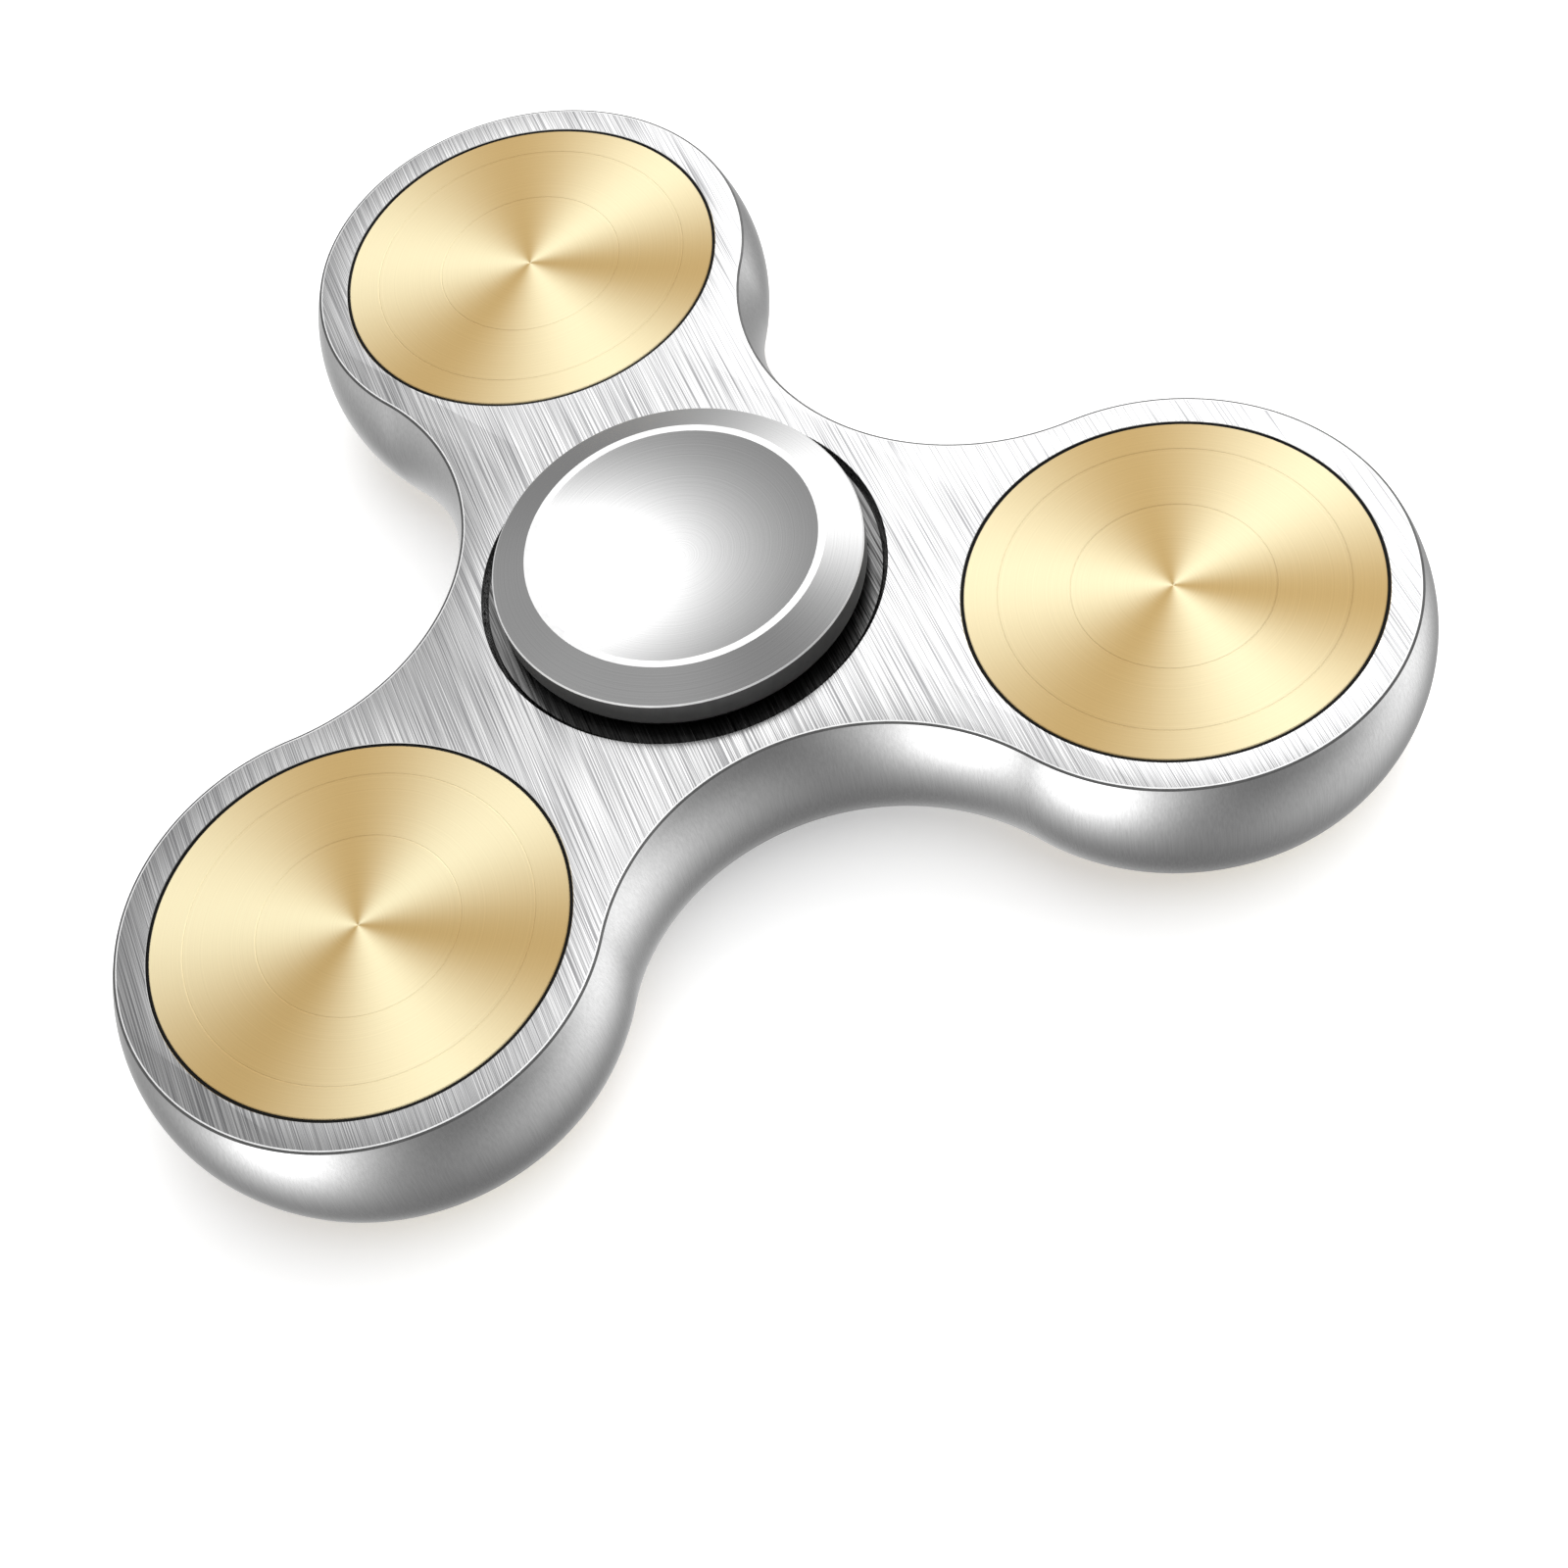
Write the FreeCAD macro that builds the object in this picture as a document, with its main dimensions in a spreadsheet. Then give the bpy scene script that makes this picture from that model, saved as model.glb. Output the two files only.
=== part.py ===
import FreeCAD, Part
import math
import os
import Sketcher

# Three-lobed fidget spinner, in millimetres.
# The frame's origin is the centre of the ball bearing, half way through the body, and +Z is the spin
# axis. The first lobe points along -Y. The part rests on the rim of its lower finger pad.

# Driving dimensions. Each is written once here and kept in the sheet under the same name.
DIMENSIONS = [
    ("body_thickness", 7.8, "plate thickness between the two brushed faces"),
    ("disc_bore_radius", 11.0, "shallow bore in a lobe that holds a disc and its gasket"),
    ("lobe_rim", 1.5, "flat metal left round a disc bore"),
    ("bevel_width", 0.25, "fine bevel along the edge of the faces, seen from above"),
    ("bevel_depth", 0.2, "height of that bevel"),
    ("side_bulge", 0.75, "how far the side wall swells out past the bevel"),
    ("hub_web", 4.0, "metal between the bearing bore and a disc bore"),
    ("hub_wall", 2.5, "metal between the bearing bore and the bottom of a finger notch"),
    ("disc_thickness", 1.2, "gold disc"),
    ("disc_edge_bevel", 0.06, "broken edge of a disc"),
    ("gasket_wall", 0.18, "black ring round a disc"),
    ("gasket_recess", 0.08, "gasket top below the brushed face"),
    ("weight_ledge", 1.0, "step that a disc rests on, round its weight's bore"),
    ("weight_edge_bevel", 0.3, "broken edge of a weight"),
    ("bearing_outer_diameter", 22.0, "608 bearing, outer diameter"),
    ("bearing_bore_diameter", 8.0, "608 bearing, bore"),
    ("bearing_width", 7.0, "608 bearing, width"),
    ("race_edge_bevel", 0.3, "corner of the bearing rings"),
    ("ball_diameter", 3.969, "5/32 inch ball"),
    ("race_clearance", 0.02, "ball to groove bottom"),
    ("groove_depth", 0.55, "raceway groove below its shoulder"),
    ("groove_conformity", 1.04, "groove radius as a multiple of the ball radius"),
    ("shield_thickness", 0.3, "stamped dust shield"),
    ("shield_inset", 0.3, "shield below the ring faces"),
    ("shield_seat", 0.6, "step in the outer ring that a shield is crimped on"),
    ("shield_gap", 0.3, "shield to inner ring"),
    ("cage_metal", 0.3, "sheet thickness of the ribbon cage"),
    ("cage_width", 1.5, "radial width of the ribbon"),
    ("pocket_clearance", 0.08, "ball to cage pocket"),
    ("rivet_radius", 0.3, "rivet shank"),
    ("rivet_head_radius", 0.5, "rivet head"),
    ("rivet_head_height", 0.25, "rivet head"),
    ("well_gap", 1.0, "finger pad to the wall of the well it sits in"),
    ("pad_rise", 2.65, "top of a finger pad above the brushed face"),
    ("pad_clearance", 0.3, "finger pad to the turning bearing ring"),
    ("pad_bevel_width", 1.84, "conical border of a finger pad, seen from above"),
    ("pad_bevel_depth", 0.79, "height of that border"),
    ("pad_edge_bevel", 0.08, "broken edge below the conical border"),
    ("pad_rim", 0.41, "flat polished rim round the finger dish"),
    ("dish_depth", 1.2, "finger dish below its rim"),
    ("pad_underside_radius", 0.7, "rounded lower edge of a finger pad"),
    ("pad_land_wall", 1.6, "step of the pad that clamps the inner ring, past the spigot"),
    ("spigot_gap", 0.2, "between the two spigots inside the inner ring"),
    ("stud_diameter", 5.0, "screw stud between the two pads"),
    ("stud_reach", 3.0, "stud past the middle of the part"),
    ("stud_end_gap", 0.4, "left in the threaded hole past the stud"),
    ("stud_edge_bevel", 0.4, "lead-in at the end of the stud"),
]

LOBES = 3
BALLS = 7
FIRST_LOBE = -90.0
LOBE_STEP = 360.0 / LOBES
BALL_STEP = 360.0 / BALLS
HALF_TURN = FreeCAD.Rotation(FreeCAD.Vector(1, 0, 0), 180)
NO_TURN = FreeCAD.Rotation()


class Size:
    """A length that knows its value in millimetres and the sheet formula that it comes from."""

    def __init__(self, value, formula):
        self.value = float(value)
        self.formula = formula

    @staticmethod
    def of(other):
        if isinstance(other, Size):
            return other
        return Size(other, repr(float(other)))

    def joined(self, sign, other, value):
        return Size(value, "(%s %s %s)" % (self.formula, sign, other.formula))

    def __add__(self, other):
        other = Size.of(other)
        return self.joined("+", other, self.value + other.value)

    def __sub__(self, other):
        other = Size.of(other)
        return self.joined("-", other, self.value - other.value)

    def __mul__(self, other):
        other = Size.of(other)
        return self.joined("*", other, self.value * other.value)

    def __truediv__(self, other):
        other = Size.of(other)
        return self.joined("/", other, self.value / other.value)

    def __neg__(self):
        return Size.of(0) - self

    def __rsub__(self, other):
        return Size.of(other) - self


def make_sheet(doc):
    """Write the driving dimensions to a sheet and return them as sizes by name."""
    sheet = doc.addObject("Spreadsheet::Sheet", "Dimensions")
    sizes = {}
    for row, (name, value, note) in enumerate(DIMENSIONS, start=1):
        sheet.set("A%d" % row, name)
        sheet.set("B%d" % row, str(value))
        sheet.set("C%d" % row, note)
        sheet.setAlias("B%d" % row, name)
        sizes[name] = Size(value, "Dimensions." + name)
    return sizes


doc = FreeCAD.newDocument("FidgetSpinner")
dim = make_sheet(doc)
doc.recompute()

# Sizes that follow from the driving dimensions.
half_body = dim["body_thickness"] / 2
half_bearing = dim["bearing_width"] / 2
bearing_radius = dim["bearing_outer_diameter"] / 2
bore_radius = dim["bearing_bore_diameter"] / 2
ball_radius = dim["ball_diameter"] / 2
ball_circle = (bearing_radius + bore_radius) / 2
lobe_pitch = bearing_radius + dim["hub_web"] + dim["disc_bore_radius"]
face_edge = dim["disc_bore_radius"] + dim["lobe_rim"]
bevel_edge = face_edge + dim["bevel_width"]
lobe_radius = bevel_edge + dim["side_bulge"]
hub_radius = bearing_radius + dim["hub_wall"]
side_height = half_body - dim["bevel_depth"]
side_radius = (side_height * side_height / dim["side_bulge"] + dim["side_bulge"]) / 2
# The notch arc touches two lobe arcs and the circle of hub_radius round the spin axis.
notch_radius = ((lobe_pitch * lobe_pitch + hub_radius * hub_radius - lobe_pitch * hub_radius
                 - lobe_radius * lobe_radius)
                / (lobe_pitch + lobe_radius * 2 - hub_radius * 2))
notch_pitch = hub_radius + notch_radius
disc_radius = dim["disc_bore_radius"] - dim["gasket_wall"]
weight_radius = dim["disc_bore_radius"] - dim["weight_ledge"]
half_weight = half_body - dim["disc_thickness"]
groove_radius = ball_radius * dim["groove_conformity"]
outer_raceway = ball_circle + ball_radius + dim["race_clearance"]
inner_raceway = ball_circle - ball_radius - dim["race_clearance"]
outer_shoulder = outer_raceway - dim["groove_depth"]
inner_shoulder = inner_raceway + dim["groove_depth"]
shield_seat = outer_shoulder + dim["shield_seat"]
shield_shelf = half_bearing - dim["shield_inset"] - dim["shield_thickness"]


def polar(radius, angle):
    """The x and y sizes of a point at a radius and an angle in degrees round the spin axis."""
    turn = math.radians(angle)
    return radius * round(math.cos(turn), 9), radius * round(math.sin(turn), 9)


def origin_feature(body, role):
    for feature in body.Origin.OriginFeatures:
        if feature.Role == role:
            return feature
    raise RuntimeError("no %s in %s" % (role, body.Label))


def new_body(label):
    body = doc.addObject("PartDesign::Body", label)
    body.Label = label
    return body


def put(part, spot, rotation=NO_TURN):
    """Place a sub-part: the turn is fixed, and the spot is bound to the sheet."""
    base = FreeCAD.Vector(*[Size.of(place).value for place in spot])
    part.Placement = FreeCAD.Placement(base, rotation)
    for axis, place in zip("xyz", spot):
        part.setExpression("Placement.Base." + axis, Size.of(place).formula)


def bind(sketch, index, size):
    """Bind one sketch dimension to the sheet."""
    sketch.setExpression("Constraints[%d]" % index, size.formula)


def pin_point(sketch, geometry, position, across, up):
    """Hold one point of a sketch at the two sizes, both counted from the sketch's origin."""
    for kind, size in (("DistanceX", across), ("DistanceY", up)):
        index = sketch.addConstraint(Sketcher.Constraint(kind, geometry, position, size.value))
        bind(sketch, index, size)


def outline(body, name, role, corners, axis_at=None):
    """Draw a closed outline on an origin plane of the body.

    A corner is (across, up) or (across, up, radius, via), where radius and via describe an arc from
    the corner before it: via is a rough point on the arc, which picks the side that it bulges to.
    With axis_at, the sketch's first construction line is an upright axis at that distance.
    """
    sketch = body.newObject("Sketcher::SketchObject", name)
    sketch.AttachmentSupport = [(origin_feature(body, role), "")]
    sketch.MapMode = "FlatFace"
    spots = [(Size.of(corner[0]), Size.of(corner[1])) for corner in corners]
    ends = []
    for number, corner in enumerate(corners):
        start = FreeCAD.Vector(spots[number - 1][0].value, spots[number - 1][1].value, 0)
        end = FreeCAD.Vector(spots[number][0].value, spots[number][1].value, 0)
        if len(corner) == 2:
            edge = sketch.addGeometry(Part.LineSegment(start, end))
        else:
            via = FreeCAD.Vector(corner[3][0], corner[3][1], 0)
            edge = sketch.addGeometry(Part.Arc(start, via, end))
        forward = sketch.getPoint(edge, 1).distanceToPoint(start) < 1e-6
        ends.append((edge, 1 if forward else 2, 2 if forward else 1))
    for number, (edge, _, last) in enumerate(ends):
        after = ends[(number + 1) % len(ends)]
        sketch.addConstraint(Sketcher.Constraint("Coincident", edge, last, after[0], after[1]))
        pin_point(sketch, edge, last, *spots[number])
        if len(corners[number]) > 2:
            radius = corners[number][2]
            index = sketch.addConstraint(Sketcher.Constraint("Radius", edge, radius.value))
            bind(sketch, index, radius)
    if axis_at is not None:
        low = FreeCAD.Vector(axis_at.value, -1, 0)
        high = FreeCAD.Vector(axis_at.value, 1, 0)
        line = sketch.addGeometry(Part.LineSegment(low, high), True)
        pin_point(sketch, line, 1, axis_at, Size.of(-1))
        pin_point(sketch, line, 2, axis_at, Size.of(1))
    return sketch


def turn_profile(body, kind, name, sketch):
    """Revolve (PartDesign::Revolution) or cut (PartDesign::Groove) a sketch round its axis."""
    feature = body.newObject(kind, name)
    feature.Profile = sketch
    own_axis = any(sketch.getConstruction(index) for index in range(sketch.GeometryCount))
    feature.ReferenceAxis = (sketch, ["Axis0" if own_axis else "V_Axis"])
    feature.Angle = 360
    return feature


def around(body, name, feature, count):
    """Repeat a feature round the spin axis."""
    pattern = body.newObject("PartDesign::PolarPattern", name)
    pattern.Originals = [feature]
    pattern.Axis = (origin_feature(body, "Z_Axis"), [""])
    pattern.Angle = 360
    pattern.Occurrences = count
    body.Tip = pattern
    return pattern


def turned(label, corners):
    """A sub-part turned on the Z axis from one half outline."""
    body = new_body(label)
    sketch = outline(body, label + "_outline", "XZ_Plane", corners)
    turn_profile(body, "PartDesign::Revolution", label + "_turned", sketch)
    return body


def side_wall(centre, sign):
    """Corners of the side wall from the upper face down to the lower one.

    sign is 1 where the wall is on the +across side of the lobe's centre and -1 on the other side.
    """
    face = centre + face_edge * sign
    bevel = centre + bevel_edge * sign
    crown = (centre + lobe_radius * sign).value
    return [
        (face, half_body),
        (bevel, side_height),
        (bevel, -side_height, side_radius, (crown, 0)),
        (face, -half_body),
    ]


def spinner_body():
    """Three round lobes joined by concave notches, with bores for the bearing, discs and weights."""
    body = new_body("spinner_body")
    core_corners = []
    for lobe in range(LOBES):
        angle = FIRST_LOBE + lobe * LOBE_STEP
        core_corners.append(polar(lobe_pitch, angle))
        core_corners.append(polar(notch_pitch, angle + LOBE_STEP / 2))
    core = body.newObject("PartDesign::Pad", "core")
    core.Profile = outline(body, "core_outline", "XY_Plane", core_corners)
    core.Midplane = True
    core.setExpression("Length", dim["body_thickness"].formula)

    # The notch's wall is the lobe's wall seen from outside: their radii add up to the same at
    # every height, so the two walls run into each other smoothly.
    reach = half_body + 1
    wall_from = notch_pitch - notch_radius - lobe_radius
    notch = [(notch_pitch, reach), (wall_from + face_edge, reach)]
    notch += side_wall(wall_from, 1)
    notch += [(wall_from + face_edge, -reach), (notch_pitch, -reach)]
    sketch = outline(body, "notch_outline", "YZ_Plane", notch, notch_pitch)
    cut = turn_profile(body, "PartDesign::Groove", "notch", sketch)
    around(body, "notches", cut, LOBES)

    centre = -lobe_pitch
    lobe = [(centre, half_body)] + side_wall(centre, -1) + [(centre, -half_body)]
    sketch = outline(body, "lobe_outline", "YZ_Plane", lobe, centre)
    added = turn_profile(body, "PartDesign::Revolution", "lobe", sketch)
    around(body, "lobes", added, LOBES)

    disc_wall = centre - dim["disc_bore_radius"]
    weight_wall = centre - weight_radius
    bore = [(centre, reach), (disc_wall, reach), (disc_wall, half_weight),
            (weight_wall, half_weight), (weight_wall, -half_weight),
            (disc_wall, -half_weight), (disc_wall, -reach), (centre, -reach)]
    sketch = outline(body, "lobe_bore_outline", "YZ_Plane", bore, centre)
    cut = turn_profile(body, "PartDesign::Groove", "lobe_bore", sketch)
    around(body, "lobe_bores", cut, LOBES)

    hub = [(0, reach), (bearing_radius, reach), (bearing_radius, -reach), (0, -reach)]
    sketch = outline(body, "bearing_bore_outline", "XZ_Plane", hub)
    turn_profile(body, "PartDesign::Groove", "bearing_bore", sketch)
    return body


def lobe_spot(number, height=0):
    across, along = polar(lobe_pitch, FIRST_LOBE + (number - 1) * LOBE_STEP)
    return across, along, height


def weight(number):
    """Steel slug pressed into a lobe between its two discs."""
    edge = dim["weight_edge_bevel"]
    part = turned("weight_%d" % number, [
        (0, half_weight),
        (weight_radius - edge, half_weight),
        (weight_radius, half_weight - edge),
        (weight_radius, edge - half_weight),
        (weight_radius - edge, -half_weight),
        (0, -half_weight),
    ])
    put(part, lobe_spot(number))
    return part


def disc(label, number, rotation):
    """Gold disc, flush with the brushed face."""
    edge = dim["disc_edge_bevel"]
    part = turned(label, [
        (0, half_body),
        (disc_radius - edge, half_body),
        (disc_radius, half_body - edge),
        (disc_radius, half_weight),
        (0, half_weight),
    ])
    put(part, lobe_spot(number), rotation)
    return part


def gasket(label, number, rotation):
    """Thin black ring that a disc is pressed into."""
    top = half_body - dim["gasket_recess"]
    part = turned(label, [
        (disc_radius, top),
        (dim["disc_bore_radius"], top),
        (dim["disc_bore_radius"], half_weight),
        (disc_radius, half_weight),
    ])
    put(part, lobe_spot(number), rotation)
    return part


def groove_half_width():
    """Half the width of a raceway groove, where it runs out on its shoulder."""
    reach = groove_radius - dim["groove_depth"]
    squared = groove_radius * groove_radius - reach * reach
    return Size(math.sqrt(squared.value), "sqrt(%s)" % squared.formula)


def outer_race():
    """Outer ring of the bearing, with its raceway and the seats of the two shields."""
    edge = dim["race_edge_bevel"]
    half_width = groove_half_width()
    part = turned("bearing_outer_race", [
        (shield_seat, half_bearing),
        (bearing_radius - edge, half_bearing),
        (bearing_radius, half_bearing - edge),
        (bearing_radius, edge - half_bearing),
        (bearing_radius - edge, -half_bearing),
        (shield_seat, -half_bearing),
        (shield_seat, -shield_shelf),
        (outer_shoulder, -shield_shelf),
        (outer_shoulder, -half_width),
        (outer_shoulder, half_width, groove_radius, (outer_raceway.value, 0)),
        (outer_shoulder, shield_shelf),
        (shield_seat, shield_shelf),
    ])
    put(part, (0, 0, 0))
    return part


def inner_race():
    """Inner ring of the bearing, clamped between the two finger pads."""
    edge = dim["race_edge_bevel"]
    half_width = groove_half_width()
    part = turned("bearing_inner_race", [
        (bore_radius, half_bearing - edge),
        (bore_radius + edge, half_bearing),
        (inner_shoulder - edge, half_bearing),
        (inner_shoulder, half_bearing - edge),
        (inner_shoulder, half_width),
        (inner_shoulder, -half_width, groove_radius, (inner_raceway.value, 0)),
        (inner_shoulder, edge - half_bearing),
        (inner_shoulder - edge, -half_bearing),
        (bore_radius + edge, -half_bearing),
        (bore_radius, edge - half_bearing),
    ])
    put(part, (0, 0, 0))
    return part


def shield(label, rotation):
    """Stamped dust shield crimped into the outer ring, clear of the inner one."""
    inner = inner_shoulder + dim["shield_gap"]
    top = half_bearing - dim["shield_inset"]
    part = turned(label, [
        (inner, top),
        (shield_seat, top),
        (shield_seat, shield_shelf),
        (inner, shield_shelf),
    ])
    put(part, (0, 0, 0), rotation)
    return part


def ball(number):
    part = doc.addObject("Part::Sphere", "ball_%d" % number)
    part.setExpression("Radius", ball_radius.formula)
    across, along = polar(ball_circle, (number - 1) * BALL_STEP)
    put(part, (across, along, 0))
    return part


def cylinder(name, radius, length, spot):
    part = doc.addObject("Part::Cylinder", name)
    part.setExpression("Radius", radius.formula)
    part.setExpression("Height", length.formula)
    put(part, spot)
    return part


def sphere_ring(name, radius):
    """Equal spheres at the ball centres."""
    spheres = []
    for number in range(BALLS):
        part = doc.addObject("Part::Sphere", "%s_%d" % (name, number))
        part.setExpression("Radius", radius.formula)
        across, along = polar(ball_circle, number * BALL_STEP)
        put(part, (across, along, 0))
        spheres.append(part)
    return spheres


def rivet_spot(number, height):
    across, along = polar(ball_circle, (number + 0.5) * BALL_STEP)
    return across, along, height


def cage_half(label, rotation):
    """Half of the stamped ribbon cage: flat webs between the balls and a dome over each ball."""
    pocket = ball_radius + dim["pocket_clearance"]
    dome = pocket + dim["cage_metal"]
    outside = ball_circle + dim["cage_width"] / 2
    inside = ball_circle - dim["cage_width"] / 2
    web = cylinder(label + "_web", outside + 1, dim["cage_metal"], (0, 0, 0))
    blank = doc.addObject("Part::MultiFuse", label + "_blank")
    blank.Shapes = [web] + sphere_ring(label + "_dome", dome)
    ribbon = doc.addObject("Part::Cut", label + "_ribbon")
    ribbon.Base = cylinder(label + "_outside", outside, dome + 1, (0, 0, 0))
    ribbon.Tool = cylinder(label + "_inside", inside, dome + 1, (0, 0, 0))
    pressed = doc.addObject("Part::Common", label + "_pressed")
    pressed.Base = ribbon
    pressed.Tool = blank
    openings = doc.addObject("Part::MultiFuse", label + "_openings")
    openings.Shapes = sphere_ring(label + "_pocket", pocket) + [
        cylinder("%s_rivet_hole_%d" % (label, number), dim["rivet_radius"],
                 dim["cage_metal"] * 3, rivet_spot(number, -dim["cage_metal"]))
        for number in range(BALLS)]
    part = doc.addObject("Part::Cut", label)
    part.Base = pressed
    part.Tool = openings
    put(part, (0, 0, 0), rotation)
    return part


def cage_rivets():
    """The rivets that hold the two halves of the cage together, one between each pair of balls."""
    rivets = []
    metal = dim["cage_metal"]
    head = dim["rivet_head_height"]
    for number in range(BALLS):
        name = "rivet_%d" % number
        rivet = doc.addObject("Part::MultiFuse", name)
        rivet.Shapes = [
            cylinder(name + "_shank", dim["rivet_radius"], metal * 2, rivet_spot(number, -metal)),
            cylinder(name + "_upper_head", dim["rivet_head_radius"], head,
                     rivet_spot(number, metal)),
            cylinder(name + "_lower_head", dim["rivet_head_radius"], head,
                     rivet_spot(number, -metal - head)),
        ]
        rivets.append(rivet)
    part = doc.addObject("Part::Compound", "cage_rivets")
    part.Links = rivets
    put(part, (0, 0, 0))
    return part


def pad_corners():
    """The outline that both finger pads share, from the dish's edge to the end of the spigot."""
    top = half_body + dim["pad_rise"]
    outer = bearing_radius - dim["well_gap"]
    edge = dim["pad_edge_bevel"]
    rim = outer - edge - dim["pad_bevel_width"]
    dish = rim - dim["pad_rim"]
    bevel_foot = top - dim["pad_bevel_depth"]
    underside = half_bearing + dim["pad_clearance"]
    round_off = dim["pad_underside_radius"]
    land = bore_radius + dim["pad_land_wall"]
    dish_radius = (dish * dish / dim["dish_depth"] + dim["dish_depth"]) / 2
    corner = round_off.value * (1 - math.sqrt(0.5))
    return [
        (0, top - dim["dish_depth"]),
        (dish, top, dish_radius, arc_middle(dish, dish_radius, top, dim["dish_depth"])),
        (rim, top),
        (outer - edge, bevel_foot),
        (outer, bevel_foot - edge),
        (outer, underside + round_off),
        (outer - round_off, underside, round_off,
         (outer.value - corner, underside.value + corner)),
        (land, underside),
        (land, half_bearing),
        (bore_radius, half_bearing),
        (bore_radius, dim["spigot_gap"] / 2),
    ]


def arc_middle(dish, dish_radius, top, depth):
    """A point half way along the finger dish's arc."""
    across = dish.value / 2
    centre = top.value - depth.value + dish_radius.value
    return across, centre - math.sqrt(dish_radius.value ** 2 - across ** 2)


def finger_pad_top():
    """Upper pad, with the threaded hole for the lower pad's stud drawn as a plain bore."""
    stud = dim["stud_diameter"] / 2
    depth = dim["stud_reach"] + dim["stud_end_gap"]
    part = turned("finger_pad_top", pad_corners() + [
        (stud, dim["spigot_gap"] / 2),
        (stud, depth),
        (0, depth),
    ])
    put(part, (0, 0, 0))
    return part


def finger_pad_bottom():
    """Lower pad, with the stud that reaches up into the upper pad."""
    stud = dim["stud_diameter"] / 2
    edge = dim["stud_edge_bevel"]
    part = turned("finger_pad_bottom", pad_corners() + [
        (stud, dim["spigot_gap"] / 2),
        (stud, edge - dim["stud_reach"]),
        (stud - edge, -dim["stud_reach"]),
        (0, -dim["stud_reach"]),
    ])
    put(part, (0, 0, 0), HALF_TURN)
    return part


def build():
    parts = [spinner_body(), outer_race(), inner_race(), finger_pad_top(), finger_pad_bottom()]
    for side, rotation in (("top", NO_TURN), ("bottom", HALF_TURN)):
        parts.append(shield("bearing_shield_" + side, rotation))
        parts.append(cage_half("cage_half_" + side, rotation))
        for number in range(1, LOBES + 1):
            parts.append(disc("disc_%s_%d" % (side, number), number, rotation))
            parts.append(gasket("gasket_%s_%d" % (side, number), number, rotation))
    parts.append(cage_rivets())
    parts += [weight(number) for number in range(1, LOBES + 1)]
    parts += [ball(number) for number in range(1, BALLS + 1)]
    return parts


def check(parts):
    """Stop if any object failed to recompute or any sub-part has no sound shape."""
    for item in doc.Objects:
        if "Invalid" in item.State or "Error" in item.State:
            raise RuntimeError("%s failed: %s" % (item.Label, item.State))
    for part in parts:
        if part.Shape.isNull() or not part.Shape.isValid():
            raise RuntimeError("%s has no sound shape" % part.Label)


parts = build()
doc.recompute()
check(parts)
os.makedirs("parts", exist_ok=True)
for part in parts:
    part.Shape.exportStep("parts/%s.step" % part.Label)
    print("%-22s %10.3f mm3 %2d solids" % (part.Label, part.Shape.Volume, len(part.Shape.Solids)))
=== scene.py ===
"""Looks of a three-lobed fidget spinner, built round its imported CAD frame.

Each sub-assembly is a class that takes its places from the frame, holds the sizes of its finer
detail, and builds and dresses its own pieces. Each finish is a small frozen class. Lengths are in
metres, written with MM where a maker would give millimetres.
"""

import logging
import math
from collections.abc import Iterable, Sequence
from dataclasses import dataclass
from enum import Enum

import bmesh
import bpy
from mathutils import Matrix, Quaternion, Vector
from mathutils.geometry import tessellate_polygon


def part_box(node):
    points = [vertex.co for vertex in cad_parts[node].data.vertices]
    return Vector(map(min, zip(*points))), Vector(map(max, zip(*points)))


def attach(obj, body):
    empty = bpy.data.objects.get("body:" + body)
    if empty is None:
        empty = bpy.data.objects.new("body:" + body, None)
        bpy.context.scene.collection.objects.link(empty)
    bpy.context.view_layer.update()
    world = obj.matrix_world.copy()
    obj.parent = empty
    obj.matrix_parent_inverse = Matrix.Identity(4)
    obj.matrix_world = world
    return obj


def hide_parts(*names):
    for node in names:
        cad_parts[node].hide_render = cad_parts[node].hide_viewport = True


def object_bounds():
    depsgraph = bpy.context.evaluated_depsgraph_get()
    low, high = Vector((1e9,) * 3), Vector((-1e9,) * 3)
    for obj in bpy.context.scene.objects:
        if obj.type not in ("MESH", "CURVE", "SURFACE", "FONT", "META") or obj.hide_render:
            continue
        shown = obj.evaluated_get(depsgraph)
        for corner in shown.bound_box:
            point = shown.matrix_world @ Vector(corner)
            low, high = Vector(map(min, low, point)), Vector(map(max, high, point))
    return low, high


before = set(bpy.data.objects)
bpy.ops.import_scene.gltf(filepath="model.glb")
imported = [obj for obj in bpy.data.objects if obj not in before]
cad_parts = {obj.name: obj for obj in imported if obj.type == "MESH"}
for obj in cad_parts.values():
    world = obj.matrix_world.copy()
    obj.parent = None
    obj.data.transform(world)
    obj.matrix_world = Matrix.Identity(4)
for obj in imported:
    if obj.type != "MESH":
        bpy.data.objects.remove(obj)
CAD_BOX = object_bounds()

MM = 0.001
TURNED_STEPS = 240
SHARP_ANGLE = math.radians(14)
ON_AXIS = 1e-6 * MM
LAY_MAP = "lay"
LAY_HEADING = math.radians(150)

Socket = bpy.types.NodeSocket
Tree = bpy.types.NodeTree
log = logging.getLogger("spinner")


class Side(Enum):
    """The two faces of the spinner, by the sign of their height."""

    TOP = 1
    BOTTOM = -1


# ---------------------------------------------------------------------------------------------
# Shader building
# ---------------------------------------------------------------------------------------------


def linear(colour: str) -> tuple[float, float, float, float]:
    """Turns an sRGB hex colour into the linear one that shaders take.

    Args:
        colour: The colour as "#rrggbb".

    Returns:
        Red, green, blue and an alpha of 1.
    """
    channels = [int(colour[at:at + 2], 16) / 255 for at in (1, 3, 5)]
    red, green, blue = (
        value / 12.92 if value <= 0.04045 else ((value + 0.055) / 1.055) ** 2.4 for value in channels
    )
    return red, green, blue, 1.0


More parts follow.
